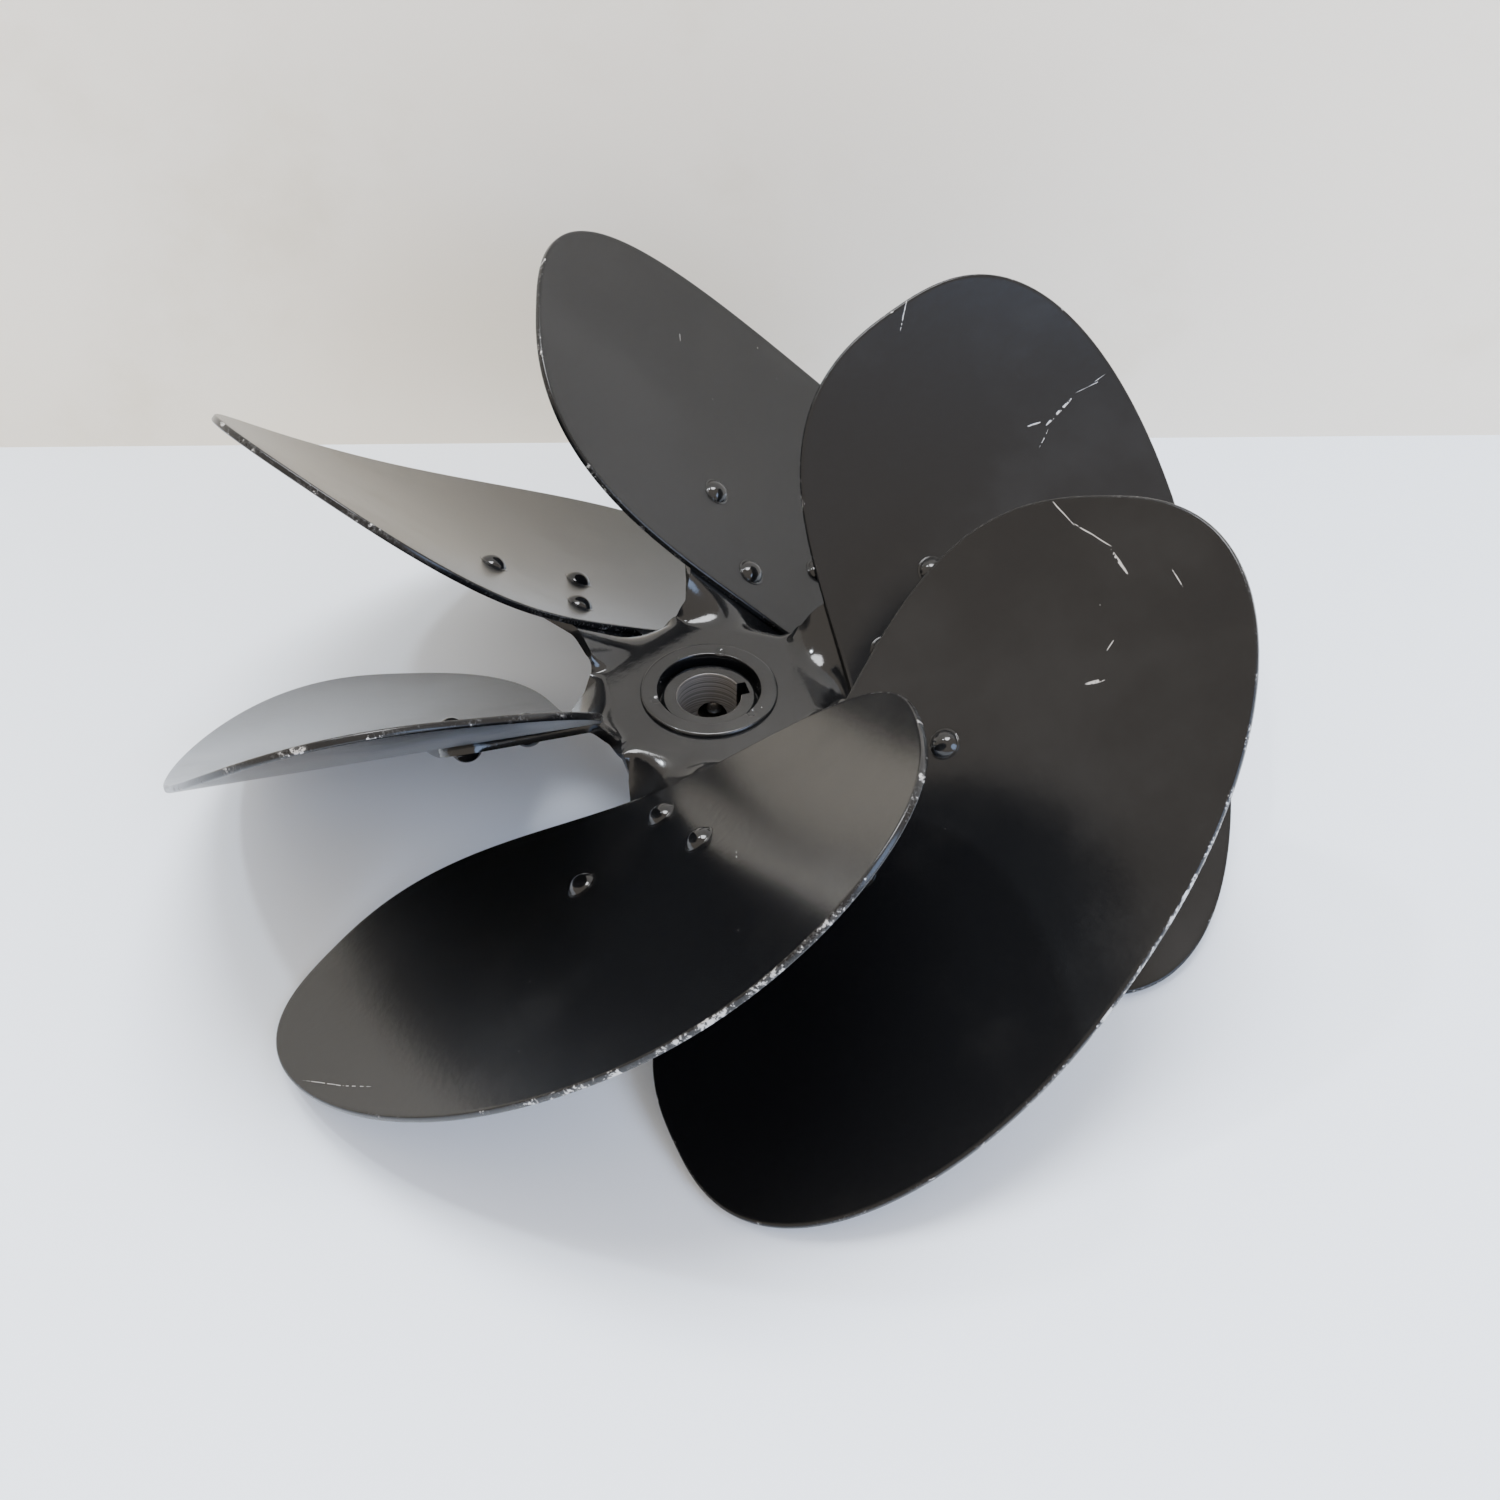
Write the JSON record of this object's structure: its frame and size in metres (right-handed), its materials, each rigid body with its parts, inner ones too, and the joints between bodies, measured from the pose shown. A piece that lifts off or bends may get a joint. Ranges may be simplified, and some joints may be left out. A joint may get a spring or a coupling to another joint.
{
  "type": "axial fan rotor",
  "caption": "Black sheet-metal axial fan rotor: wide oval blades riveted to a stamped spider on a keyed steel hub with a set screw.",
  "frame": {"origin": "centre of the hub's boss face, at the upper end of the shaft bore", "axes": "+Z along the shaft axis, towards the rolled lip and the hollow side of the blades; +X along the first arm and the keyway"},
  "size_m": [0.3658, 0.367, 0.1595],
  "materials": {
    "blade_paint": "satin black paint with chipped edges and scratches",
    "spider_paint": "gloss black paint",
    "rivet_paint": "gloss black paint over round rivet heads",
    "hub_paint": "gloss black paint, worn thin in the bore",
    "screw_steel": "dark oiled steel"
  },
  "bodies": {
    "rotor": {"blade_1": "blade_paint", "blade_2": "blade_paint", "blade_3": "blade_paint", "blade_4": "blade_paint", "blade_5": "blade_paint", "blade_6": "blade_paint", "rivet_1_1": "rivet_paint", "rivet_1_2": "rivet_paint", "rivet_1_3": "rivet_paint", "rivet_2_1": "rivet_paint", "rivet_2_2": "rivet_paint", "rivet_2_3": "rivet_paint", "rivet_3_1": "rivet_paint", "rivet_3_2": "rivet_paint", "rivet_3_3": "rivet_paint", "rivet_4_1": "rivet_paint", "rivet_4_2": "rivet_paint", "rivet_4_3": "rivet_paint", "rivet_5_1": "rivet_paint", "rivet_5_2": "rivet_paint", "rivet_5_3": "rivet_paint", "rivet_6_1": "rivet_paint", "rivet_6_2": "rivet_paint", "rivet_6_3": "rivet_paint", "spider": "spider_paint", "hub": "hub_paint"},
    "screw": {"set_screw": "screw_steel"}
  },
  "joints": [
    {"name": "set_screw_travel", "type": "slide", "parent": "rotor", "child": "screw", "axis": [-0.3746, -0.9272, 0], "range_m": [-0.004, 0.0026]}
  ]
}
